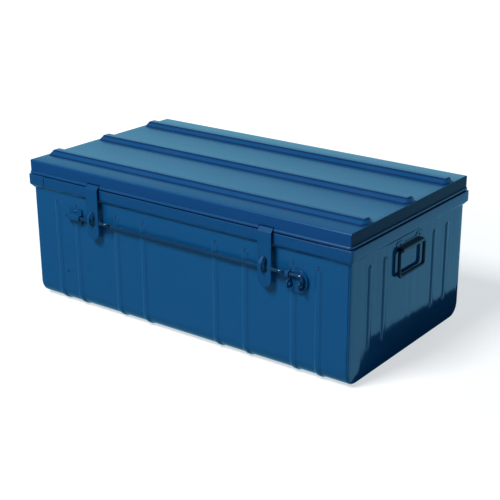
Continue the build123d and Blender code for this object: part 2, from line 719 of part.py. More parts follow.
# ---------------------------------------------------------------- build and write
nodes = {"body_wrap": body_wrap()}
for side, shape in both_ends(end_panel()).items():
    nodes["end_panel_" + side] = shape
nodes["rim_strip_front"] = rim_strip_side(-1)
nodes["rim_strip_back"] = rim_strip_side(1)
for side in ("right", "left"):
    nodes["rim_strip_back"] = drill(nodes["rim_strip_back"], hinge_rivets_body[side])
for side, shape in both_ends(rim_strip_ends()).items():
    nodes["rim_strip_" + side] = shape
nodes["lid_sheet"] = lid_sheet()
for side, shape in both_ends(lid_end()).items():
    nodes["lid_end_" + side] = shape
nodes["lid_edge_wire"] = edge_tube(edge_wire_radius)
for side, place in (("left", -hasp_place), ("right", hasp_place)):
    nodes["hasp_" + side] = hasp(place)
    nodes["bolt_finger_" + side] = bolt_finger(place)
nodes["lock_bar"] = lock_bar()
nodes["bar_guide_left"] = drill(
    guide(plate_back_y, -outer_rib, guide_left_width, guide_left_foot), guide_rivets
)
nodes["bar_guide_right"] = guide(
    plate_front_y, guide_right_place, guide_right_width, guide_right_foot
)
nodes["padlock_plate"] = padlock_plate()
nodes["padlock_lug"] = padlock_lug()
for side, place in (("left", -hinge_place), ("right", hinge_place)):
    nodes["hinge_body_leaf_" + side] = body_leaf(side, place)
    nodes["hinge_lid_leaf_" + side] = lid_leaf(side, place)
    nodes["hinge_pin_" + side] = hinge_pin(place)
for side, shape in both_ends(handle_plate()).items():
    nodes["handle_plate_" + side] = shape
for side, shape in both_ends(handle_bail()).items():
    nodes["handle_bail_" + side] = shape

lid_rivet_spots = hinge_rivets_lid["left"] + hinge_rivets_lid["right"]
body_rivet_spots = hinge_rivets_body["left"] + hinge_rivets_body["right"]
nodes["hinge_rivets_lid"] = Compound([rivet(*spot) for spot in lid_rivet_spots])
nodes["hinge_rivets_body"] = Compound([rivet(*spot) for spot in body_rivet_spots])
nodes["latch_rivets"] = Compound([rivet(*s) for s in plate_rivets + guide_rivets])
right_rivets = Compound([rivet(*spot) for spot in handle_rivets])
for side, shape in both_ends(right_rivets).items():
    nodes["handle_rivets_" + side] = shape

for name, shape in nodes.items():
    export_step(Pos(0, centring, 0) * shape, "parts/" + name + ".step")
print(len(nodes), "nodes written, moved back by", round(centring, 3), "mm")
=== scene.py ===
# %% [markdown]
# # A ribbed steel trunk, dressed for the camera
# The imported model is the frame: it says where each part is and how it moves. This lesson gives
# that frame its looks. Sheet parts are pressed again as fine meshes with soft ribs, small
# hardware keeps its own solid, and one family of enamel finishes covers it all.
# Every length is in metres and every piece stays where the frame says.

# %% Load the frame
import math

import bpy
from mathutils import Matrix, Vector


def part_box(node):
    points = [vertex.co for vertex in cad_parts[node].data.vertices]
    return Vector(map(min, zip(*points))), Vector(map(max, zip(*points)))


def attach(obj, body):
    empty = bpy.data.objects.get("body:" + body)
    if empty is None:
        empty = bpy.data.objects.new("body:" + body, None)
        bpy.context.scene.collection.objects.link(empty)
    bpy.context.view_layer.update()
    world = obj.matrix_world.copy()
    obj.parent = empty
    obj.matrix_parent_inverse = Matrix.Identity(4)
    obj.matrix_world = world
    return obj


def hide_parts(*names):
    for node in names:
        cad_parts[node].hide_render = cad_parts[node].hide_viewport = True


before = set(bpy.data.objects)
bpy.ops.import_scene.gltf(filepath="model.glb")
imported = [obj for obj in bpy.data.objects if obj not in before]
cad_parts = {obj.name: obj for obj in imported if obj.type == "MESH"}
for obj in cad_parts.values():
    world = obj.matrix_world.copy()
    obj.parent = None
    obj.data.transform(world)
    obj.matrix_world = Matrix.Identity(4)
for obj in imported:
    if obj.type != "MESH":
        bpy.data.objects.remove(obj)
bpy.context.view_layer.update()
wrap_low, wrap_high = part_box("body_wrap")
middle_y = (wrap_low.y + wrap_high.y) / 2
print("nodes", len(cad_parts), "middle of the body at y", round(middle_y, 6))

# %% [markdown]
# ## Node tools
# Shaders and Geometry Nodes trees are built from the same few steps, so those steps are named
# once: a tree with named inputs, a node with its values, some maths, a noise, a ramp, a fade and
# a mix. What follows then reads like a recipe.

# %% Trees and nodes
def new_tree(name, kind, inputs, outputs):
    """Node group with named inputs and outputs, and the sockets inside it that stand for them."""
    tree = bpy.data.node_groups.new(name, kind)
    for label, socket_kind, value in inputs:
        socket = tree.interface.new_socket(label, in_out="INPUT", socket_type=socket_kind)
        if value is not None:
            socket.default_value = value
    for label, socket_kind in outputs:
        tree.interface.new_socket(label, in_out="OUTPUT", socket_type=socket_kind)
    return (tree, tree.nodes.new("NodeGroupInput").outputs,
            tree.nodes.new("NodeGroupOutput").inputs)


def add_node(tree, kind, inputs, **settings):
    """Node with its settings, and each listed input linked to a socket or set to a value."""
    node = tree.nodes.new(kind)
    for label, value in settings.items():
        setattr(node, label, value)
    for label, value in inputs.items():
        if isinstance(value, bpy.types.NodeSocket):
            tree.links.new(value, node.inputs[label])
        else:
            node.inputs[label].default_value = value
    return node


print("trees and nodes ready")

# %% Maths, noise and colour
def math_node(tree, operation, first, second=None, clamp=False):
    """Math node whose inputs are sockets or numbers. Returns its output."""
    inputs = {0: first} if second is None else {0: first, 1: second}
    return add_node(tree, "ShaderNodeMath", inputs, operation=operation,
                    use_clamp=clamp).outputs[0]


def vector_math(tree, operation, first, second=(0, 0, 0), output="Vector"):
    """Vector math node. Returns its Vector or its Value."""
    return add_node(tree, "ShaderNodeVectorMath", {0: first, 1: second},
                    operation=operation).outputs[output]


def dot_with(tree, vector, way):
    """Dot product of a vector socket and a direction."""
    return vector_math(tree, "DOT_PRODUCT", vector, way, "Value")


def noise(tree, vector, scale, detail):
    """Noise texture on a vector. Returns its factor, about 0.5 on the average."""
    return add_node(tree, "ShaderNodeTexNoise",
                    {"Detail": detail, "Scale": scale, "Vector": vector}).outputs["Fac"]


def fade(tree, value, start, stop, low=0.0, high=1.0, soft=True):
    """Value carried from one span to another, along a soft or a straight line."""
    return add_node(tree, "ShaderNodeMapRange",
                    {"Value": value, "From Min": start, "From Max": stop, "To Min": low,
                     "To Max": high},
                    interpolation_type="SMOOTHSTEP" if soft else "LINEAR").outputs["Result"]


def ramp(tree, factor, tones):
    """Colour ramp from (place, colour) pairs. Returns its colour."""
    node = add_node(tree, "ShaderNodeValToRGB", {0: factor})
    stops = node.color_ramp.elements
    stops.remove(stops[1])
    stops[0].position, stops[0].color = tones[0][0], (*tones[0][1], 1)
    for place, tone in tones[1:]:
        stops.new(place).color = (*tone, 1)
    return node.outputs["Color"]


def blend_colours(tree, factor, first, second):
    """Mix of two colours, each a socket or three numbers. Returns the mixed colour."""
    first, second = ((*tone, 1) if isinstance(tone, tuple) else tone for tone in (first, second))
    return add_node(tree, "ShaderNodeMix", {"Factor": factor, "A": first, "B": second},
                    data_type="RGBA").outputs["Result"]


print("node tools ready")

# %% [markdown]
# ## Camera, floor and light
# A long lens from a little above eye level shows the lid, the front and one end together.
# A shifted lens frames an object without turning the camera, so upright edges stay upright.
# The camera is set by its azimuth, elevation and roll, because those are easy to read and check.

# %% Camera
AZIMUTH, ELEVATION, ROLL_ANGLE = 34.989, 21.115, 0.397
LENS, SHIFT = 83.32, (-0.0747, 0.0288)
CAMERA_PLACE = (1.3984, middle_y - 1.8413, 0.984)


def link_object(name, data):
    """Object at the origin that shows the given data."""
    obj = bpy.data.objects.new(name, data)
    bpy.context.collection.objects.link(obj)
    return obj


def camera_axes(azimuth, elevation, roll):
    """Right, up and back axes of a camera that looks at the front from the given angles."""
    azimuth, elevation, roll = (math.radians(a) for a in (azimuth, elevation, roll))
    back = Vector((math.sin(azimuth) * math.cos(elevation),
                   -math.cos(azimuth) * math.cos(elevation), math.sin(elevation)))
    side = Vector((0, 0, 1)).cross(back).normalized()
    rise = back.cross(side)
    right = math.cos(roll) * side + math.sin(roll) * rise
    up = math.cos(roll) * rise - math.sin(roll) * side
    return right, up, back


camera_data = bpy.data.cameras.new("studio_camera")
camera_data.sensor_width = 36
camera_data.lens = LENS
camera_data.shift_x, camera_data.shift_y = SHIFT
camera = link_object("studio_camera", camera_data)
camera.matrix_world = Matrix.Translation(CAMERA_PLACE) @ Matrix(
    camera_axes(AZIMUTH, ELEVATION, ROLL_ANGLE)).transposed().to_4x4()
bpy.context.scene.camera = camera
bpy.context.scene.view_settings.view_transform = "Standard"
print("camera at", [round(v, 3) for v in camera.location])

# %% [markdown]
# Gloss paint shows the room more than it shows the lamps. This room is a cool daylight studio:
# a pale band low on the back wall, which the lid picks up at a flat angle, a dark ceiling that
# keeps the pressed ribs deep, and a blue-grey tone low down for the upright sides. A world
# shader that reads the direction makes that room without objects, so nothing in it can show a
# hard edge in the paint. The camera itself sees a plain white backdrop past the floor's edge.

# %% Studio room
ROOM_ABOVE = [(0.0, (0.22, 0.53, 0.64)), (0.20, (0.22, 0.55, 0.66)), (0.30, (0.17, 0.43, 0.51)),
              (0.38, (0.07, 0.20, 0.26)), (0.50, (0.03, 0.09, 0.13)), (1.0, (0.02, 0.06, 0.09))]
LOW_FRONT = (0.07, 0.34, 0.52)
LOW_BACK = (0.20, 0.58, 0.88)
BACKDROP = (1.1, 1.1, 1.1, 1)
TO_BACK, TO_BACK_LEFT = (0.57, 0.82, 0), (-0.57, 0.82, 0)
ROOM_STRENGTH, SIDE_GLOW = 0.7, 0.6

world = bpy.data.worlds.new("studio_room")
bpy.context.scene.world = world
world.use_nodes = True
room = world.node_tree
room.nodes.clear()
looking = add_node(room, "ShaderNodeTexCoord", {}).outputs["Generated"]
looking_up = dot_with(room, looking, (0, 0, 1))
above = ramp(room, looking_up, ROOM_ABOVE)
half_to_back = math_node(room, "MULTIPLY", dot_with(room, looking, TO_BACK), 0.5)
below = blend_colours(room, math_node(room, "ADD", half_to_back, 0.5, clamp=True), LOW_FRONT,
                      LOW_BACK)
over_horizon = math_node(room, "GREATER_THAN", looking_up, 0.0)
to_back_left = math_node(room, "MAXIMUM", dot_with(room, looking, TO_BACK_LEFT), 0.0)
strength = math_node(room, "ADD", math_node(room, "MULTIPLY", to_back_left, SIDE_GLOW),
                     ROOM_STRENGTH)
room_light = add_node(room, "ShaderNodeBackground",
                      {"Color": blend_colours(room, over_horizon, below, above),
                       "Strength": strength})
backdrop = add_node(room, "ShaderNodeBackground", {"Color": BACKDROP})
straight = add_node(room, "ShaderNodeLightPath", {}).outputs["Is Camera Ray"]
either = add_node(room, "ShaderNodeMixShader",
                  {0: straight, 1: room_light.outputs[0], 2: backdrop.outputs[0]})
add_node(room, "ShaderNodeOutputWorld", {"Surface": either.outputs[0]})
print("room with", len(room.nodes), "nodes")

# %% [markdown]
# The floor is a grey matt sweep with a glow that grows away from the object. Only the camera
# sees the glow, so the background looks white to the edge while the contact shadow stays soft,
# and the glow adds nothing to the light on the paint.

# %% Floor
FLOOR_HALF = 12.0
FLOOR_NEAR, FLOOR_FAR = 0.7, 2.4
GLOW_NEAR, GLOW_FAR = 0.62, 1.10


def stage_piece(name, corners, paint_name, colour):
    """Flat matt piece of the stage, with one face."""
    mesh = bpy.data.meshes.new(name)
    mesh.from_pydata(corners, [], [tuple(range(len(corners)))])
    paint = bpy.data.materials.new(paint_name)
    paint.use_nodes = True
    shader = paint.node_tree.nodes["Principled BSDF"]
    shader.inputs["Base Color"].default_value = (*colour, 1)
    shader.inputs["Roughness"].default_value = 1.0
    mesh.materials.append(paint)
    return link_object(name, mesh)


floor = stage_piece("floor", [(x * FLOOR_HALF, y * FLOOR_HALF, 0)
                              for x, y in ((-1, -1), (1, -1), (1, 1), (-1, 1))],
                    "studio_floor", (0.42, 0.42, 0.42))
floor.visible_glossy = False
floor_tree = floor.active_material.node_tree
floor_shader = floor_tree.nodes["Principled BSDF"]
floor_shader.inputs["Specular IOR Level"].default_value = 0.0
floor_shader.inputs["Emission Color"].default_value = (0.97, 0.985, 1.0, 1)
floor_place = add_node(floor_tree, "ShaderNodeTexCoord", {}).outputs["Object"]
from_middle = vector_math(floor_tree, "LENGTH", floor_place, output="Value")
glow = fade(floor_tree, from_middle, FLOOR_NEAR, FLOOR_FAR, GLOW_NEAR, GLOW_FAR, soft=False)
seen = add_node(floor_tree, "ShaderNodeLightPath", {}).outputs["Is Camera Ray"]
floor_tree.links.new(math_node(floor_tree, "MULTIPLY", glow, seen),
                     floor_shader.inputs["Emission Strength"])
print("floor", 2 * FLOOR_HALF, "m square")

# %% [markdown]
# One large softbox carries the picture. It stands high in front and a little to the left, so
# the front and the lid get about the same light and the right end is left in shade. A weaker
# one stands low behind, square to the back panel, and lights without showing in the gloss. A
# matt dark card lies on the floor beside the right end, a hand wide and longer than the end. It
# is a painted shadow: it stands in for the trunk's own shadow on that strip of floor, which the
# upright sheet mirrors. Only reflections see it, and its edge in the panel shows how flat the
# sheet is. It belongs to the stage, so the exported model doesn't carry that dark band.

# %% Lamps and painted floor shadow
LAMP_AIM = Vector((0, 0, 0.15))
SHADOW_CARD_CORNERS = [(0.400, middle_y - 0.222, 0.002), (0.418, middle_y - 0.152, 0.002),
                (0.484, middle_y, 0.002), (0.466, middle_y + 0.360, 0.002),
                (0.450, middle_y + 0.700, 0.002), (0.400, middle_y + 0.700, 0.002)]


def softbox(name, place, size, power):
    """Flat area lamp that looks at the middle of the object."""
    lamp = bpy.data.lights.new(name, "AREA")
    lamp.shape = "RECTANGLE"
    lamp.size, lamp.size_y = size
    lamp.energy = power
    holder = link_object(name, lamp)
    holder.location = place
    holder.rotation_euler = (Vector(place) - LAMP_AIM).to_track_quat("Z", "Y").to_euler()
    return holder


key = softbox("key_softbox", (-0.68, -2.70, 3.55), (1.4, 1.4), 232)
rear = softbox("rear_softbox", (0.25, 4.0, 1.0), (1.6, 0.9), 55)
rear.visible_glossy = False
# Painted shadow: a dark card that only reflections see, in place of the trunk's shadow on the
# floor.
shadow_card = stage_piece("painted_floor_shadow", SHADOW_CARD_CORNERS, "painted_shadow_cloth", (0.01, 0.01, 0.012))
shadow_card.visible_camera = False
shadow_card.visible_diffuse = False
shadow_card.visible_shadow = False
print("lamps", key.name, rear.name, "and", shadow_card.name)

# %% [markdown]
# ## Finishes
# The trunk is sprayed with one thick coat of gloss enamel. Three things keep such a coat from
# looking like plastic: a fine orange peel in its skin, slow waves where thin sheet has sprung,
# and a little dust and rubbing. Each is a shader group of its own, because every finish here
# uses them with other values. A group gives only heights and masks, and the Principled shader
# stays in each material.

# %% Orange peel and sprung sheet
FLOAT, VECTOR = "NodeSocketFloat", "NodeSocketVector"
skin_group, skin_in, skin_out = new_tree(
    "enamel_skin", "ShaderNodeTree",
    [("Vector", VECTOR, (0, 0, 0)), ("Peel Scale", FLOAT, 900.0), ("Peel Depth", FLOAT, 0.00001),
     ("Wave Stretch", VECTOR, (10, 10, 2)), ("Wave Depth", FLOAT, 0.0002)],
    [("Height", FLOAT)])
peel = noise(skin_group, skin_in["Vector"], skin_in["Peel Scale"], 1.0)
stretched = vector_math(skin_group, "MULTIPLY", skin_in["Vector"], skin_in["Wave Stretch"])
wave = noise(skin_group, stretched, 1.0, 2.0)
peel_height = math_node(skin_group, "MULTIPLY", peel, skin_in["Peel Depth"])
wave_height = math_node(skin_group, "MULTIPLY", wave, skin_in["Wave Depth"])
skin_group.links.new(math_node(skin_group, "ADD", peel_height, wave_height), skin_out["Height"])
print("group", skin_group.name)

# %% [markdown]
# A dent is a height too. It is a soft round hollow at a stated place, read from Object
# coordinates, so it stays on its piece from every side.

# %% Small dent
dent_group, dent_in, dent_out = new_tree(
    "small_dent", "ShaderNodeTree",
    [("Vector", VECTOR, (0, 0, 0)), ("Place", VECTOR, (0, 0, 0)), ("Radius", FLOAT, 0.004),
     ("Depth", FLOAT, 0.0008)],
    [("Height", FLOAT)])
reach = vector_math(dent_group, "DISTANCE", dent_in["Vector"], dent_in["Place"], "Value")
bowl = fade(dent_group, reach, 0.0, dent_in["Radius"], -1.0, 0.0)
dent_group.links.new(math_node(dent_group, "MULTIPLY", bowl, dent_in["Depth"]),
                     dent_out["Height"])
print("group", dent_group.name)

# %% [markdown]
# Dust settles where a surface looks up, in soft patches, and paint that has been handled turns
# a shade paler there. One group gives both masks: Dust from the upward part of the normal times
# a noise, and Tone from a slow noise for the uneven depth of the coat.

# %% Settled dust and uneven coat
dust_group, dust_in, dust_out = new_tree(
    "settled_dust", "ShaderNodeTree",
    [("Vector", VECTOR, (0, 0, 0)), ("Patch Scale", FLOAT, 9.0), ("Amount", FLOAT, 0.1)],
    [("Dust", FLOAT), ("Tone", FLOAT)])
facing_way = add_node(dust_group, "ShaderNodeNewGeometry", {}).outputs["Normal"]
up_mask = math_node(dust_group, "MULTIPLY", dot_with(dust_group, facing_way, (0, 0, 1)), 1.0,
                    clamp=True)
patches = noise(dust_group, dust_in["Vector"], dust_in["Patch Scale"], 5.0)
speckle = noise(dust_group, dust_in["Vector"], 320.0, 3.0)
dust_mask = math_node(dust_group, "MULTIPLY",
                      math_node(dust_group, "MULTIPLY", up_mask, patches),
                      math_node(dust_group, "MULTIPLY", speckle, dust_in["Amount"]))
dust_group.links.new(math_node(dust_group, "MULTIPLY", dust_mask, 3.0, clamp=True),
                     dust_out["Dust"])
dust_group.links.new(noise(dust_group, dust_in["Vector"], 2.6, 3.0), dust_out["Tone"])
print("group", dust_group.name)

# %% [markdown]
# Each pressed rib of the lid gets painted shade at its two bends: a deeper tone than on the flat
# stands in for the darker reflection there. The mask reads how high a point lies on the rib's
# flank, so the line follows the bend along the whole lid, and the flat parts stay clear.

# %% Painted bend shade
bend_group, bend_in, bend_out = new_tree(
    "painted_bend_shade", "ShaderNodeTree",
    [("Vector", VECTOR, (0, 0, 0)), ("Foot", FLOAT, 0.3072), ("Crest", FLOAT, 0.3167)],
    [("Bend", FLOAT)])
climb = fade(bend_group, dot_with(bend_group, bend_in["Vector"], (0, 0, 1)), bend_in["Foot"],
             bend_in["Crest"], soft=False)
from_waist = math_node(bend_group, "ABSOLUTE", math_node(bend_group, "SUBTRACT", climb, 0.5))
near_bend = fade(bend_group, from_waist, 0.16, 0.34)
bend_way = add_node(bend_group, "ShaderNodeNewGeometry", {}).outputs["Normal"]
slope = fade(bend_group, dot_with(bend_group, bend_way, (0, 0, 1)), 0.995, 0.93)
on_rib = math_node(bend_group, "GREATER_THAN", climb, 0.001)
bend_group.links.new(
    math_node(bend_group, "MULTIPLY", math_node(bend_group, "MULTIPLY", near_bend, slope), on_rib),
    bend_out["Bend"])
print("group", bend_group.name)

# %% [markdown]
# One function mixes a finish from these groups. Coat weight, IOR and the other numbers that are
# the same all over are typed straight into the shader, and only what changes over the surface
# is linked.

# %% Enamel
PEEL_SCALE, PEEL_DEPTH = 700.0, 0.000012
DENT_SHADE, DUST_MATT, EDGE_BLUR = 2.4, 0.6, 0.0006
PAINTED_HOLLOW_SHADE_TONE = (0.0006, 0.024, 0.088)
DUST_TONE = (0.42, 0.45, 0.47)
BEND_SHADE_TONE = (0.0008, 0.022, 0.095)
BAIL_AND_SHADE_TONE = (0.0012, 0.0080, 0.028)


def use_group(tree, group, **values):
    """Places a group in a tree with its own values. Returns its outputs."""
    inputs = {label.replace("_", " "): value for label, value in values.items()}
    return add_node(tree, "ShaderNodeGroup", inputs, node_tree=group).outputs


def enamel(name, deep, pale, roughness, wave_stretch, wave_depth, dust, dents=(),
           coat_weight=0.35, specular=0.5, bends=None, painted_shade_below=None):
    """Gloss enamel between two tones, with waves, dust, dents, and painted shade in dents, on
    bends and below a height.
    """
    material = bpy.data.materials.new(name)
    material.use_nodes = True
    tree = material.node_tree
    place = add_node(tree, "ShaderNodeTexCoord", {}).outputs["Object"]
    height = use_group(tree, skin_group, Vector=place, Peel_Scale=PEEL_SCALE,
                       Peel_Depth=PEEL_DEPTH, Wave_Stretch=wave_stretch,
                       Wave_Depth=wave_depth)["Height"]
    dusting = use_group(tree, dust_group, Vector=place, Amount=dust)
    coat = blend_colours(tree, dusting["Tone"], deep, pale)
    # Painted shade: each dent's hollow is darkened towards its middle with a deeper tone.
    painted_hollow_shade = None
    for spot, radius, depth in dents:
        dent = use_group(tree, dent_group, Vector=place, Place=spot, Radius=radius,
                         Depth=depth)["Height"]
        height = math_node(tree, "ADD", height, dent)
        hollow_shade_spot = math_node(tree, "MULTIPLY", dent, -DENT_SHADE / depth, clamp=True)
        painted_hollow_shade = hollow_shade_spot if painted_hollow_shade is None else math_node(tree, "MAXIMUM", painted_hollow_shade, hollow_shade_spot)
    if painted_hollow_shade is not None:
        coat = blend_colours(tree, painted_hollow_shade, coat, PAINTED_HOLLOW_SHADE_TONE)
    # Painted shade: a deeper tone along the two bends of each lid rib.
    if bends:
        lines = use_group(tree, bend_group, Vector=place, Foot=bends[0], Crest=bends[1])
        coat = blend_colours(tree, lines["Bend"], coat, BEND_SHADE_TONE)
    # Painted shade and reflection: below the given height the coat turns to the dark bail tone.
    if painted_shade_below:
        under = fade(tree, dot_with(tree, place, (0, 0, 1)), painted_shade_below + EDGE_BLUR,
                     painted_shade_below - EDGE_BLUR, soft=False)
        coat = blend_colours(tree, under, coat, BAIL_AND_SHADE_TONE)
    dusted = blend_colours(tree, dusting["Dust"], coat, DUST_TONE)
    rough = math_node(tree, "ADD", math_node(tree, "MULTIPLY", dusting["Dust"], DUST_MATT),
                      roughness)
    bump = add_node(tree, "ShaderNodeBump", {"Distance": 1.0, "Height": height})
    inputs = tree.nodes["Principled BSDF"].inputs
    for label, socket in (("Base Color", dusted), ("Roughness", rough),
                          ("Normal", bump.outputs["Normal"])):
        tree.links.new(socket, inputs[label])
    for label, value in (("IOR", 1.5), ("Specular IOR Level", specular),
                         ("Coat Weight", coat_weight), ("Coat Roughness", 0.06)):
        inputs[label].default_value = value
    print("finish", name)
    return material


# %% [markdown]
# Each kind of part gets its own finish from that function. Each pressed rib has a small hollow
# at its top with painted shade in it, so the places of the ribs are named here, and the sheets
# below use the same names.

# %% Finishes
RIB_PLACES = (0.331, 0.276, 0.164, 0.092)
END_RIBS = (0.148, 0.095)
LID_TOP, LID_RIB_RISE = 0.3072, 0.0095
WRAP_RIB_TOP_HOLLOWS = [((sign * place, middle_y - 0.2190, 0.2262), 0.0058, 0.0002)
              for place in RIB_PLACES for sign in (-1, 1)]
END_RIB_TOP_HOLLOWS = [((end * 0.3998, middle_y + side * place, 0.2250), 0.0056, 0.0002)
             for place in END_RIBS for side in (-1, 1) for end in (-1, 1)]
FRONT_DENT = ((-0.310, middle_y - 0.217, 0.073), 0.005, 0.0012)
RIM_DENT = ((0.4025, middle_y - 0.188, 0.2505), 0.005, 0.0012)

blue_body = enamel("body_enamel", (0.0010, 0.057, 0.172), (0.0020, 0.068, 0.196), 0.28,
                   (9, 9, 2), 0.0005, 0.012, dents=[FRONT_DENT] + WRAP_RIB_TOP_HOLLOWS)
blue_end = enamel("end_enamel", (0.0016, 0.054, 0.160), (0.0026, 0.062, 0.180), 0.09,
                  (1, 60, 3), 0.0007, 0.012, dents=END_RIB_TOP_HOLLOWS)
blue_lid = enamel("lid_enamel", (0.0012, 0.054, 0.170), (0.0024, 0.064, 0.194), 0.22,
                  (3, 9, 9), 0.0004, 0.02, bends=(LID_TOP, LID_TOP + LID_RIB_RISE))
# Painted shade: the lid's skirt takes a darker copy of the lid enamel.
shaded_skirt_blue = enamel("skirt_shaded_enamel", (0.0008, 0.036, 0.142), (0.0014, 0.042, 0.160), 0.26,
                    (3, 9, 9), 0.0003, 0.012)
# Painted shade: a darker copy of the body enamel for the rim strips and rolled edges.
shaded_rim_blue = enamel("rim_shaded_enamel", (0.0010, 0.043, 0.146), (0.0018, 0.051, 0.166), 0.24,
                  (6, 6, 6), 0.0003, 0.02, dents=[RIM_DENT])
# Painted shade and dark reflection: a much darker copy of the enamel for the lid ends.
shaded_lid_end_blue = enamel("lid_end_shaded_enamel", (0.0008, 0.012, 0.042), (0.0014, 0.015, 0.052), 0.30,
                      (9, 9, 9), 0.0003, 0.012, coat_weight=0.0, specular=0.12)
blue_hardware = enamel("hardware_enamel", (0.0010, 0.046, 0.146), (0.0018, 0.054, 0.168), 0.22,
                       (20, 20, 20), 0.0001, 0.012)
# The handle plates carry painted shade and dark reflection on their lower part, the rolled sleeve.
handle_blue = enamel("handle_enamel", (0.0016, 0.046, 0.135), (0.0024, 0.054, 0.155), 0.18,
                     (20, 20, 20), 0.0001, 0.012, painted_shade_below=0.2300)
bar_blue = enamel("bar_enamel", (0.0010, 0.022, 0.070), (0.0018, 0.030, 0.090), 0.20,
                  (30, 30, 30), 0.00005, 0.010)
dark_wire = enamel("wire_enamel", BAIL_AND_SHADE_TONE, (0.0020, 0.0120, 0.040), 0.16,
                   (30, 30, 30), 0.00005, 0.008, coat_weight=0.0, specular=0.35)


# %% [markdown]
# ## Sheet parts
# Each sheet part is drawn once as its outer skin, a grid of points, and then given the thickness
# of the steel. A grid keeps all its faces four-sided, so soft shapes shade evenly, and the
# columns can stand close together where a rib needs them and far apart on the flat.

# %% Tools for sheet parts
SHEET = 0.001


def quarter(steps):
    """Angles from nothing to a quarter turn."""
    return [math.pi / 2 * i / steps for i in range(steps + 1)]


def grid_faces(rows, columns, first=0):
    """Quads of a grid that is stored row by row."""
    return [(first + r * columns + c, first + r * columns + c + 1,
             first + (r + 1) * columns + c + 1, first + (r + 1) * columns + c)
            for r in range(rows - 1) for c in range(columns - 1)]


def turned_over(faces):
    """The same faces, seen from their other side."""
    return [tuple(reversed(face)) for face in faces]


def make_object(name, points, faces, material):
    """Mesh object from points and faces, smooth, with its faces turned as given."""
    mesh = bpy.data.meshes.new(name)
    mesh.from_pydata([tuple(p) for p in points], [], faces)
    mesh.materials.append(material)
    mesh.update()
    mesh.shade_smooth()
    return link_object(name, mesh)


def settle(obj, sharp=35.0):
    """Makes an object and its modifiers one plain mesh. Edges past an angle stay crisp."""
    graph = bpy.context.evaluated_depsgraph_get()
    mesh = bpy.data.meshes.new_from_object(obj.evaluated_get(graph))
    obj.modifiers.clear()
    obj.data = mesh
    mesh.shade_smooth()
    mesh.set_sharp_from_angle(angle=math.radians(sharp))
    return obj


def thicken(obj, even=True):
    """Gives a skin the thickness of the steel, on its inner side."""
    solid = obj.modifiers.new("steel", "SOLIDIFY")
    solid.thickness = SHEET
    solid.offset = -1
    solid.use_even_offset = even
    return obj


def dress(obj, body, slot, *replaced):
    """Lets a finished piece ride on its body and stand for its nodes. Its slot is not used."""
    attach(obj, body)
    if replaced:
        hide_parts(*replaced)
    print(obj.name, len(obj.data.vertices), "points on", body)
    return obj


def merge_close(values, gap=0.0001):
    """Sorted values with near doubles left out."""
    result = []
    for value in sorted(values):
        if not result or value - result[-1] > gap:
            result.append(value)
    return result


def fillet_line(points, radii, steps=6):
    """2D line through points, with an arc of the given radius at each inner point."""
    line = [Vector(points[0])]
    for before, corner, after, radius in zip(points, points[1:], points[2:], radii):
        corner = Vector(corner)
        inward = (Vector(before) - corner).normalized()
        onward = (Vector(after) - corner).normalized()
        half = inward.angle(onward) / 2
        run = radius / math.tan(half)
        centre = corner + (inward + onward).normalized() * (radius / math.sin(half))
        start, end = corner + inward * run - centre, corner + onward * run - centre
        turn = start.angle_signed(end)
        for i in range(steps + 1):
            arm = Matrix.Rotation(-turn * i / steps, 2) @ start
            line.append(centre + arm)
    line.append(Vector(points[-1]))
    return line


# %% [markdown]
# ### Pressed ribs
# The front, bottom and back are one sheet, and eight ribs are pressed round it. The ends have
# four ribs each. All of them follow one rule: the skin rises by a set height within a set
# distance of a rib's middle line, and falls softly to the base. A Geometry Nodes tree holds that
# rule once, with named inputs, and serves the wrap and both ends.

# %% Rib press
GEOMETRY, MATERIAL = "NodeSocketGeometry", "NodeSocketMaterial"


def close_tree(tree, geometry, paint, out):
    """Ends a Geometry Nodes tree with real faces and their material."""
    real = add_node(tree, "GeometryNodeRealizeInstances", {0: geometry})
    painted = add_node(tree, "GeometryNodeSetMaterial",
                       {"Geometry": real.outputs[0], "Material": paint})
    tree.links.new(painted.outputs[0], out[0])


press, press_in, press_out = new_tree(
    "rib_press", "GeometryNodeTree",
    [("Geometry", GEOMETRY, None), ("Centre", VECTOR, (0, 0, 0)), ("Across", VECTOR, (1, 0, 0)),
     ("Place 1", FLOAT, 0.0), ("Place 2", FLOAT, 0.0), ("Place 3", FLOAT, 0.0),
     ("Place 4", FLOAT, 0.0), ("Low End", FLOAT, -1.0), ("High End", FLOAT, 0.2),
     ("Height", FLOAT, 0.0022), ("Base", FLOAT, 0.017), ("Crest", FLOAT, 0.006),
     ("Paint", MATERIAL, None)],
    [("Geometry", GEOMETRY)])
position = add_node(press, "GeometryNodeInputPosition", {}).outputs[0]
from_centre = vector_math(press, "SUBTRACT", position, press_in["Centre"])
offset = math_node(press, "ABSOLUTE", dot_with(press, from_centre, press_in["Across"]))
nearest = None
for label in ("Place 1", "Place 2", "Place 3", "Place 4"):
    distance = math_node(press, "ABSOLUTE", math_node(press, "SUBTRACT", offset, press_in[label]))
    nearest = distance if nearest is None else math_node(press, "MINIMUM", nearest, distance)
level = add_node(press, "ShaderNodeSeparateXYZ", {0: position}).outputs["Z"]
past_high = math_node(press, "SUBTRACT", level, press_in["High End"])
past_low = math_node(press, "SUBTRACT", press_in["Low End"], level)
past_end = math_node(press, "MAXIMUM", math_node(press, "MAXIMUM", past_high, past_low), 0.0)
squares = math_node(press, "ADD", math_node(press, "MULTIPLY", nearest, nearest),
                    math_node(press, "MULTIPLY", past_end, past_end))
rise = fade(press, math_node(press, "SQRT", squares),
            math_node(press, "MULTIPLY", press_in["Crest"], 0.5),
            math_node(press, "MULTIPLY", press_in["Base"], 0.5), press_in["Height"], 0.0)
normal = add_node(press, "GeometryNodeInputNormal", {}).outputs[0]
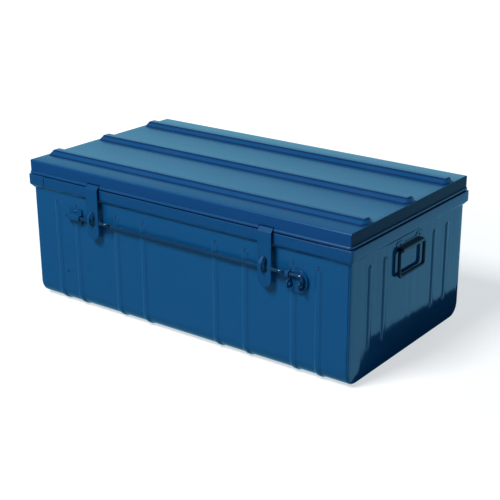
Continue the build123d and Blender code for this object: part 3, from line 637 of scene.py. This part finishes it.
push = add_node(press, "ShaderNodeVectorMath", {0: normal, "Scale": rise}, operation="SCALE")
move = add_node(press, "GeometryNodeSetPosition",
                {"Geometry": press_in["Geometry"], "Offset": push.outputs[0]})
close_tree(press, move.outputs[0], press_in["Paint"], press_out)


def numbered(label, values):
    """Inputs that differ only by their number, as names and values."""
    return {f"{label}_{number}": value for number, value in enumerate(values, 1)}


def run_tree(obj, tree, **values):
    """Runs a Geometry Nodes tree on an object, with inputs set by identifier, and settles it."""
    modifier = obj.modifiers.new(tree.name, "NODES")
    modifier.node_group = tree
    identifiers = {item.name: item.identifier for item in tree.interface.items_tree
                   if item.item_type == "SOCKET" and item.in_out == "INPUT"}
    for label, value in values.items():
        modifier[identifiers[label.replace("_", " ")]] = value
    return settle(obj)


print("tree", press.name, "with", len(press.nodes), "nodes")

# %% [markdown]
# ### Front, bottom and back
# The skin starts at the top of the front, turns under with a 29.5 mm bend, crosses the
# bottom and climbs the back. Rows stand a millimetre apart only round the ends of the ribs.

# %% Body wrap
RIB_STEPS = (0, 0.0015, 0.003, 0.0038, 0.0046, 0.0055, 0.0064, 0.0072, 0.008, 0.0087, 0.0096,
             0.012)
HALF_DEPTH = 0.217
FLOOR_GAP = 0.0022
BEND = 0.0295
WRAP_HALF = 0.394
WRAP_TOP = 0.2742
RIB_TOP = 0.2210
columns = merge_close(
    [sign * (place + side * step) for place in RIB_PLACES for step in RIB_STEPS
     for sign in (-1, 1) for side in (-1, 1)]
    + [sign * WRAP_HALF * i / 26 for i in range(27) for sign in (-1, 1)], 0.0006)
column_ends = [-WRAP_HALF] + [x for x in columns if abs(x) < WRAP_HALF - 0.002] + [WRAP_HALF]
wall = ([WRAP_TOP, 0.266, 0.256, 0.246, 0.238, 0.2345, 0.2325]
        + [0.2313 - 0.0009 * i for i in range(13)] + [0.216, 0.208]
        + [0.198 - 0.0116 * i for i in range(15)])
side = [(-HALF_DEPTH, z) for z in wall]
arc = [(-HALF_DEPTH + BEND * (1 - math.cos(a)), FLOOR_GAP + BEND * (1 - math.sin(a)))
       for a in quarter(14)]
half_bottom = [(y, FLOOR_GAP) for y in (-0.17, -0.13, -0.09, -0.05)]
half_line = side + arc + half_bottom
skin_line = half_line + [(0.0, FLOOR_GAP)] + [(-y, z) for y, z in reversed(half_line)]
points = [(x, y + middle_y, z) for y, z in skin_line for x in column_ends]
wrap = make_object("body_wrap_skin", points,
                   turned_over(grid_faces(len(skin_line), len(column_ends))), blue_body)
run_tree(wrap, press, Centre=(0.0, middle_y, 0.0), Across=(1.0, 0.0, 0.0), High_End=RIB_TOP,
         Paint=blue_body, **numbered("Place", RIB_PLACES))
settle(thicken(wrap))
dress(wrap, "trunk", "blue_enamel", "body_wrap")

# %% [markdown]
# ### End panels
# Each end is a shallow pressed tray whose face has rounded lower corners and a small rounded
# edge. Its rows follow the outline, so the grid squeezes in where the corners turn.

# %% End panels
END_FACE = 0.398
TRAY_TOP = 0.2752
TRAY_CORNER = 0.003
TRAY_FLANGE = 0.016
TRAY_SIDE = HALF_DEPTH - SHEET
TRAY_LOW = FLOOR_GAP + SHEET
TRAY_BEND = BEND - SHEET
END_RIB_TOP = 0.2288
END_RIB_FOOT = 0.0540
RIB_BASE = 0.017


def tray_width(z, inset):
    """Half width of an end panel at a height, with its edge moved in."""
    centre = TRAY_LOW + TRAY_BEND
    radius = TRAY_BEND - inset
    if z >= centre:
        return TRAY_SIDE - inset
    drop = min(radius, centre - z)
    return TRAY_SIDE - TRAY_BEND + math.sqrt(max(0.0, radius * radius - drop * drop))


def end_skin(sign):
    """Skin of one end panel: face grid, rounded edge and flange. Sign is 1 at the right end."""
    inset = TRAY_CORNER
    low = TRAY_LOW + inset
    fine = [0.0009 * i for i in range(-5, 16)]
    zs = merge_close(
        [END_RIB_TOP - RIB_BASE / 2 + d for d in fine]
        + [END_RIB_FOOT + RIB_BASE / 2 - d for d in fine]
        + [low + (TRAY_BEND - inset) * (1 - math.cos(a)) for a in quarter(12)]
        + [0.036 + 0.0096 * i for i in range(1, 25)] + [TRAY_TOP], 0.0007)
    ys = merge_close([s * (place + side * step) for place in END_RIBS for step in RIB_STEPS
                      for s in (-1, 1) for side in (-1, 1)]
                     + [0.013 * i for i in range(-13, 14)], 0.0006)
    hold = max(ys)
    points, columns_count = [], 0
    for z in zs:
        edge = tray_width(z, inset)
        right_part = [hold + (edge - hold) * i / 6 for i in range(1, 7)]
        row = [-y for y in reversed(right_part)] + ys + right_part
        columns_count = len(row)
        points += [(sign * END_FACE, y + middle_y, z) for y in row]
    faces = grid_faces(len(zs), columns_count)
    last = len(zs) - 1
    rim = [r * columns_count for r in range(last, 0, -1)]
    rim += list(range(columns_count))
    rim += [r * columns_count + columns_count - 1 for r in range(1, last + 1)]
    outward = []
    for index in rim:
        y, z = points[index][1] - middle_y, points[index][2]
        corner_y = TRAY_SIDE - TRAY_BEND
        corner_z = TRAY_LOW + TRAY_BEND
        across_y = (abs(y) - corner_y) if abs(y) > corner_y - 1e-6 else 0.0
        down_z = (z - corner_z) if z < corner_z + 1e-6 else 0.0
        way = Vector((0, math.copysign(across_y, y), down_z))
        if way.length < 1e-6:
            way = Vector((0, math.copysign(1.0, y), 0))
        outward.append(way.normalized())
    loops = [(TRAY_CORNER * math.sin(a), TRAY_CORNER * (1 - math.cos(a)))
             for a in quarter(5)[1:]] + [(TRAY_CORNER, TRAY_FLANGE)]
    previous = rim
    for out, back_by in loops:
        ring = []
        for index, way in zip(rim, outward):
            base = Vector(points[index])
            spot = base + way * out
            spot.x = sign * (END_FACE - back_by)
            ring.append(len(points))
            points.append(tuple(spot))
        for a, b, c, d in zip(previous, previous[1:], ring[1:], ring):
            faces.append((a, d, c, b))
        previous = ring
    return points, turned_over(faces) if sign < 0 else faces


for side_name, sign in (("left", -1), ("right", 1)):
    points, faces = end_skin(sign)
    panel = make_object("end_skin_" + side_name, points, faces, blue_end)
    run_tree(panel, press, Centre=(0.0, middle_y, 0.0), Across=(0.0, 1.0, 0.0),
             Low_End=END_RIB_FOOT + RIB_BASE / 2, High_End=END_RIB_TOP - RIB_BASE / 2,
             Paint=blue_end, **numbered("Place", END_RIBS * 2))
    settle(thicken(panel))
    dress(panel, "trunk", "blue_enamel", "end_panel_" + side_name)

# %% [markdown]
# ### Rim strips
# A folded channel stiffens the open edge. Its section is a short slope, an upright face and a
# flat top that turns in over the panel. The same section runs along the front and back, and
# round both corners of each end, where it laps over the side strips.

# %% Rim section
RIM_BOTTOM = 0.2462
RIM_SLOPE = 0.008
SIDE_STRIP = (0.0065, 0.2752)
END_STRIP = (0.0075, 0.2762)


def rim_section(proud, top):
    """Strip's outer skin as (out from the panel, height), from its inner top edge down."""
    section = fillet_line([(-SHEET, top), (proud, top), (proud, RIM_BOTTOM + RIM_SLOPE),
                           (0.0002, RIM_BOTTOM)], (0.0014, 0.0045), 5)
    return [(p[0], p[1]) for p in section]


def rim_side(sign):
    """Skin of the front strip (sign -1) or the back strip (sign 1)."""
    section = rim_section(*SIDE_STRIP)
    stations = [-WRAP_HALF + 2 * WRAP_HALF * i / 48 for i in range(49)]
    points = [(x, middle_y + sign * (HALF_DEPTH + out), z) for out, z in section for x in stations]
    faces = grid_faces(len(section), len(stations))
    return points, turned_over(faces) if sign < 0 else faces


for name, sign in (("front", -1), ("back", 1)):
    points, faces = rim_side(sign)
    strip = make_object("rim_skin_" + name, points, faces, shaded_rim_blue)
    settle(thicken(strip))
    dress(strip, "trunk", "blue_enamel", "rim_strip_" + name)

# %% Rim ends
RIM_LAP = 0.036
RIM_CORNER = 0.004


def round_end(half_x, half_y, start_x, bend, lead, along):
    """Path round one end: a run along the front, a corner, the end, and the front mirrored."""
    front = [(start_x + (half_x - bend - start_x) * i / lead, -half_y) for i in range(lead)]
    front += [(half_x - bend + bend * math.sin(a), -half_y + bend * (1 - math.cos(a)))
              for a in quarter(8)]
    end = [(half_x, (half_y - bend) * (i / along - 1)) for i in range(1, 2 * along)]
    return front + end + [(x, -y) for x, y in reversed(front)]


def rim_end(sign):
    """Skin of an end strip that runs along the end and laps round both corners."""
    rows = []
    for out, z in rim_section(*END_STRIP):
        path = round_end(END_FACE + out, HALF_DEPTH + out, END_FACE - RIM_LAP,
                         min(RIM_CORNER, max(0.0005, out + 0.0012)), 6, 15)
        rows.append([(sign * x, y + middle_y, z) for x, y in path])
    points = [spot for row in rows for spot in row]
    faces = grid_faces(len(rows), len(rows[0]))
    return points, turned_over(faces) if sign > 0 else faces


for name, sign in (("left", -1), ("right", 1)):
    points, faces = rim_end(sign)
    strip = make_object("rim_skin_" + name, points, faces, shaded_rim_blue)
    settle(thicken(strip))
    dress(strip, "trunk", "blue_enamel", "rim_strip_" + name)

# %% [markdown]
# ### Lid
# The lid is one sheet bent over at the front and back, with three wide ribs that run from end
# to end. Its section is a line with small arcs at the bends, pulled along the trunk. The lower
# edge is rolled round a wire, and that roll is its own tube, cut away where the hasps hang.

# %% Lid sheet
WIRE_Z = 0.2802
LID_HALF, LID_EDGE = 0.400, 0.399
LID_SIDE = 0.2215
LID_PITCH = 0.154
LID_RIB_PLACES = (-LID_PITCH, 0.0, LID_PITCH)
LID_RIB = (0.046, 0.016, LID_RIB_RISE)
RIB_RUNOUT = 0.009
RIB_FOOT_SHARE = 0.55
EDGE_ROUND = [(0.3995, 0.00013), (0.39985, 0.0005), (LID_HALF, 0.0009)]
HASP_PLACES = (-0.218, 0.218)
NOTCH_HALF = 0.0175
NOTCH_TOP = WIRE_Z + 0.0054
ROLL = 0.003
ROLL_END = 0.394


def lid_line():
    """Section of the lid's outer skin between its rib ends, from front edge to back edge."""
    base, crest, height = LID_RIB
    corners = [(-LID_SIDE, NOTCH_TOP), (-LID_SIDE, LID_TOP)]
    for centre in LID_RIB_PLACES:
        corners += [(centre - base / 2, LID_TOP), (centre - crest / 2, LID_TOP + height),
                    (centre + crest / 2, LID_TOP + height), (centre + base / 2, LID_TOP)]
    corners += [(LID_SIDE, LID_TOP), (LID_SIDE, NOTCH_TOP)]
    bends = [0.003] + [0.0025] * 12 + [0.003]
    return [Vector((-LID_SIDE, WIRE_Z))] + fillet_line(corners, bends) + [
        Vector((LID_SIDE, WIRE_Z))]


def rib_share(x):
    """How much of a lid rib's height is left at a place along the lid, from 1 to 0 at its end."""
    left = max(0.0, min(1.0, (LID_EDGE - abs(x)) / RIB_RUNOUT))
    return (left + math.sin(left * math.pi / 2)) / 2


def lid_point(x, spot, inset=0.0):
    """Point of the lid skin: a section point, lowered and narrowed where its rib runs out."""
    y, z = spot
    share = rib_share(x)
    centre = min(LID_RIB_PLACES, key=lambda place: abs(place - y))
    if abs(y - centre) < LID_RIB[0] / 2 + 0.004:
        y = centre + (y - centre) * (RIB_FOOT_SHARE + (1 - RIB_FOOT_SHARE) * share)
    z = LID_TOP + (z - LID_TOP) * share if z > LID_TOP else z
    y = max(-LID_SIDE + inset, min(LID_SIDE - inset, y))
    return (x, y + middle_y, min(z, LID_TOP - inset) if inset else z)


line = lid_line()
stations = merge_close(
    [place + side * NOTCH_HALF for place in HASP_PLACES for side in (-1, 1)]
    + [-0.388 + 0.776 * i / 58 for i in range(59)], 0.002)
runout = [LID_EDGE - RIB_RUNOUT * i / 9 for i in range(9, -1, -1)]
stations = [-x for x in reversed(runout)] + stations + runout
points = [lid_point(x, p) for p in line for x in stations]
faces = []
for face in grid_faces(len(line), len(stations)):
    row = face[0] // len(stations)
    mid_x = (points[face[0]][0] + points[face[1]][0]) / 2
    notched = row == 0 and any(abs(mid_x - place) < NOTCH_HALF for place in HASP_PLACES)
    if not notched:
        faces.append(face)
for sign in (-1, 1):
    column = len(stations) - 1 if sign > 0 else 0
    previous = [r * len(stations) + column for r in range(len(line))]
    for x, inset in EDGE_ROUND:
        ring = list(range(len(points), len(points) + len(line)))
        points += [lid_point(sign * x, p, inset) for p in line]
        for a, b, c, d in zip(previous, previous[1:], ring[1:], ring):
            faces.append((a, d, c, b) if sign > 0 else (a, b, c, d))
        previous = ring
lid_skin = make_object("lid_skin", points, faces, blue_lid)
lid_skin.data.materials.append(shaded_skirt_blue)
# The skirt faces below the top take the darker copy, as painted shade.
for face in lid_skin.data.polygons:
    if face.center.z < LID_TOP - 0.002 and abs(face.center.x) < LID_EDGE:
        face.material_index = 1
settle(thicken(lid_skin, even=False))
print("lid line", len(line), "points,", len(stations), "stations")


# %% [markdown]
# The rolled edge is a tube along a path. A small function makes tubes for this and for other
# rolled edges: it carries a ring of points along the path and turns it with the path, so the
# tube keeps its width in the bends.

# %% Tubes along a path
def tube(path, radius, sides=20):
    """Points and faces of a round tube along a path of Vectors, closed at both ends."""
    points, faces = [], []
    lead = Vector((0, 0, 1))
    if abs((path[1] - path[0]).normalized().z) > 0.9:
        lead = Vector((1, 0, 0))
    for i, spot in enumerate(path):
        before = path[max(0, i - 1)]
        after = path[min(len(path) - 1, i + 1)]
        along = (after - before).normalized()
        lead = (lead - along * lead.dot(along)).normalized()
        other = along.cross(lead)
        for k in range(sides):
            turn = 2 * math.pi * k / sides
            points.append(spot + (lead * math.cos(turn) + other * math.sin(turn)) * radius)
    for r in range(len(path) - 1):
        for k in range(sides):
            a, b = r * sides + k, r * sides + (k + 1) % sides
            faces.append((a, b, b + sides, a + sides))
    points += [Vector(path[0]), Vector(path[-1])]
    end = (len(path) - 1) * sides
    for k in range(sides):
        faces.append((len(points) - 2, (k + 1) % sides, k))
        faces.append((len(points) - 1, end + k, end + (k + 1) % sides))
    return points, faces


def join_pieces(name, pieces, material):
    """One object from several (points, faces) pieces."""
    points, faces = [], []
    for some_points, some_faces in pieces:
        shift = len(points)
        points += some_points
        faces += [tuple(i + shift for i in face) for face in some_faces]
    return make_object(name, points, faces, material)


def rolled_side(sign):
    """Rolled edge of the front or back, in lengths between the hasp notches."""
    stops = [-ROLL_END, ROLL_END]
    if sign < 0:
        for place in HASP_PLACES:
            stops += [place - NOTCH_HALF, place + NOTCH_HALF]
    stops.sort()
    lengths = []
    for x0, x1 in zip(stops[0::2], stops[1::2]):
        count = max(3, int((x1 - x0) / 0.03))
        path = [Vector((x0 + (x1 - x0) * i / count, middle_y + sign * LID_SIDE, WIRE_Z))
                for i in range(count + 1)]
        lengths.append(tube(path, ROLL))
    return lengths


side_rolls = join_pieces("lid_side_rolls", rolled_side(-1) + rolled_side(1), shaded_rim_blue)
settle(side_rolls)
dress(lid_skin, "lid", "blue_enamel", "lid_sheet")
dress(side_rolls, "lid", "blue_enamel")

# %% [markdown]
# ### Lid ends
# The ribs run out just before the ends, so each end is a plain low plate. It closes the lid
# behind the sheet's rounded edge, and it has its own rolled edge that turns both corners.

# %% Lid ends
END_CORNER = 0.004
PLATE_LEVELS = ((0.3986, 0.0004), (0.39980, 0.0004), (0.39995, 0.0007))


def end_plate(sign):
    """Closed plate inside a lid end, with a small chamfer round its outer face."""
    outlines = []
    for x, inset in PLATE_LEVELS:
        half_y, top, radius = LID_SIDE - inset, LID_TOP - inset, 0.003 - inset
        outline = [(-half_y, WIRE_Z)]
        outline += [(-half_y + radius * (1 - math.cos(a)), top - radius * (1 - math.sin(a)))
                    for a in quarter(6)]
        outline += [(-y, z) for y, z in reversed(outline)]
        outlines.append([(sign * x, y + middle_y, z) for y, z in outline])
    count = len(outlines[0])
    points = [spot for outline in outlines for spot in outline]
    faces = [tuple(range(count)), tuple(reversed(range(2 * count, 3 * count)))]
    for level in (0, 1):
        for k in range(count):
            a, b = level * count + k, level * count + (k + 1) % count
            faces.append((a, a + count, b + count, b))
    return points, turned_over(faces) if sign < 0 else faces


def end_roll(sign):
    """Rolled edge of a lid end, round both corners."""
    path = [Vector((sign * x, y + middle_y, WIRE_Z))
            for x, y in round_end(LID_HALF, LID_SIDE, ROLL_END, END_CORNER, 1, 10)]
    return tube(path, ROLL)


for name, sign in (("left", -1), ("right", 1)):
    points, faces = end_plate(sign)
    plate = make_object("lid_end_plate_" + name, points, faces, shaded_lid_end_blue)
    settle(plate, 20.0)
    dress(plate, "lid", "blue_enamel", "lid_end_" + name)
    roll_points, roll_faces = end_roll(sign)
    roll = make_object("lid_end_roll_" + name, roll_points, roll_faces, shaded_rim_blue)
    settle(roll)
    dress(roll, "lid", "blue_enamel")

# %% [markdown]
# ## Rivets
# Rivets repeat, so one tree sets them: it takes bare points, each with the way its rivet faces,
# and puts a domed head on each and a flat tail on the inside. Realize Instances turns them into
# real faces, because instances are lost on export.

# %% Rivet setter
setter, setter_in, setter_out = new_tree(
    "rivet_setter", "GeometryNodeTree",
    [("Geometry", GEOMETRY, None), ("Head Radius", FLOAT, 0.003), ("Head Height", FLOAT, 0.0015),
     ("Grip", FLOAT, 0.0025), ("Paint", MATERIAL, None)],
    [("Geometry", GEOMETRY)])


def dome(radius, height, drop):
    """Flattened ball of a given radius and half height, moved down by a distance."""
    ball = add_node(setter, "GeometryNodeMeshUVSphere",
                    {"Segments": 20, "Rings": 12, "Radius": 1.0})
    size = add_node(setter, "ShaderNodeCombineXYZ", {"X": radius, "Y": radius, "Z": height})
    shift = add_node(setter, "ShaderNodeCombineXYZ",
                     {"Z": math_node(setter, "MULTIPLY", drop, -1.0)})
    return add_node(setter, "GeometryNodeTransform",
                    {"Geometry": ball.outputs["Mesh"], "Scale": size.outputs[0],
                     "Translation": shift.outputs[0]}).outputs[0]


head = dome(setter_in["Head Radius"], setter_in["Head Height"], 0.0)
tail = dome(math_node(setter, "MULTIPLY", setter_in["Head Radius"], 0.8),
            math_node(setter, "MULTIPLY", setter_in["Head Height"], 0.6), setter_in["Grip"])
both = add_node(setter, "GeometryNodeJoinGeometry", {0: head})
setter.links.new(tail, both.inputs[0])
facing = add_node(setter, "GeometryNodeInputNamedAttribute", {"Name": "facing"},
                  data_type="FLOAT_VECTOR")
turn = add_node(setter, "FunctionNodeAlignRotationToVector",
                {"Vector": facing.outputs["Attribute"]}, axis="Z")
place_each = add_node(setter, "GeometryNodeInstanceOnPoints",
                      {"Points": setter_in["Geometry"], "Instance": both.outputs[0],
                       "Rotation": turn.outputs[0]})
close_tree(setter, place_each.outputs[0], setter_in["Paint"], setter_out)


def set_rivets(name, spots, facing_way, grip, body, node):
    """Rivets at the given places, all facing one way, in place of one node."""
    mesh = bpy.data.meshes.new(name)
    mesh.from_pydata([tuple(s) for s in spots], [], [])
    attribute = mesh.attributes.new("facing", "FLOAT_VECTOR", "POINT")
    for item in attribute.data:
        item.vector = facing_way
    obj = link_object(name, mesh)
    run_tree(obj, setter, Grip=grip, Paint=blue_hardware)
    dress(obj, body, "painted_wire", node)


print("tree", setter.name, "with", len(setter.nodes), "nodes")

# %% [markdown]
# The lock plate has three rivets and the left bar guide has two. Each hinge leaf and each
# handle plate has two.

# %% Rivet places
LEAF = 0.0015
RIVET_EDGE = 0.003
HANDLE_FACE = 0.3992
BODY_GRIP, HANDLE_GRIP = 0.0025, 0.0022
PLATE_FACE = middle_y - 0.2207
HINGE_PLACE, HINGE_RIVET = 0.235, 0.020
plate_spots = [(x, PLATE_FACE, z)
               for x, z in ((0.276, 0.2099), (0.276, 0.1749), (0.294, 0.1770), (-0.276, 0.2157),
                            (-0.276, 0.1931))]
body_leaf_y = middle_y + HALF_DEPTH + SIDE_STRIP[0] + LEAF
lid_leaf_y = middle_y + LID_SIDE + LEAF
leaf_xs = [s * HINGE_PLACE + t * HINGE_RIVET for s in (-1, 1) for t in (-1, 1)]
body_low, body_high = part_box("hinge_rivets_body")
lid_low, lid_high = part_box("hinge_rivets_lid")
set_rivets("latch_rivet_heads", plate_spots, (0, -1, 0), BODY_GRIP, "trunk", "latch_rivets")
set_rivets("body_leaf_rivet_heads",
           [(x, body_leaf_y, (body_low.z + body_high.z) / 2) for x in leaf_xs],
           (0, 1, 0), BODY_GRIP, "trunk", "hinge_rivets_body")
set_rivets("lid_leaf_rivet_heads",
           [(x, lid_leaf_y, (lid_low.z + lid_high.z) / 2) for x in leaf_xs],
           (0, 1, 0), BODY_GRIP, "lid", "hinge_rivets_lid")
for name, sign in (("left", -1), ("right", 1)):
    low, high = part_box("handle_rivets_" + name)
    spots = [(sign * HANDLE_FACE, y, (low.z + high.z) / 2)
             for y in (low.y + RIVET_EDGE, high.y - RIVET_EDGE)]
    set_rivets("handle_rivet_heads_" + name, spots, (sign, 0, 0), HANDLE_GRIP, "trunk",
               "handle_rivets_" + name)

# %% [markdown]
# ## Hardware that keeps its solid
# Bars, pins, plates and leaves already have their true shape in the frame, so they keep it and
# only get their finish. The wire parts and bars get darker enamel, and the handle plates get
# painted shade and dark reflection on their lower part.

# %% Finish the solids
PLATED = ["hasp_left", "hasp_right", "bar_guide_left", "bar_guide_right", "padlock_plate",
          "padlock_lug", "hinge_body_leaf_left", "hinge_body_leaf_right", "hinge_lid_leaf_left",
          "hinge_lid_leaf_right"]
HANDLES = ["handle_plate_left", "handle_plate_right"]
BARS = ["lock_bar", "bolt_finger_left", "bolt_finger_right"]
WIRED = ["handle_bail_left", "handle_bail_right", "lid_edge_wire", "hinge_pin_left",
         "hinge_pin_right"]
FINISHES = ((PLATED, blue_hardware), (HANDLES, handle_blue), (BARS, bar_blue), (WIRED, dark_wire))
for names, finish in FINISHES:
    for name in names:
        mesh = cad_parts[name].data
        mesh.materials.clear()
        mesh.materials.append(finish)
print("painted", sum(len(names) for names, finish in FINISHES), "solids")
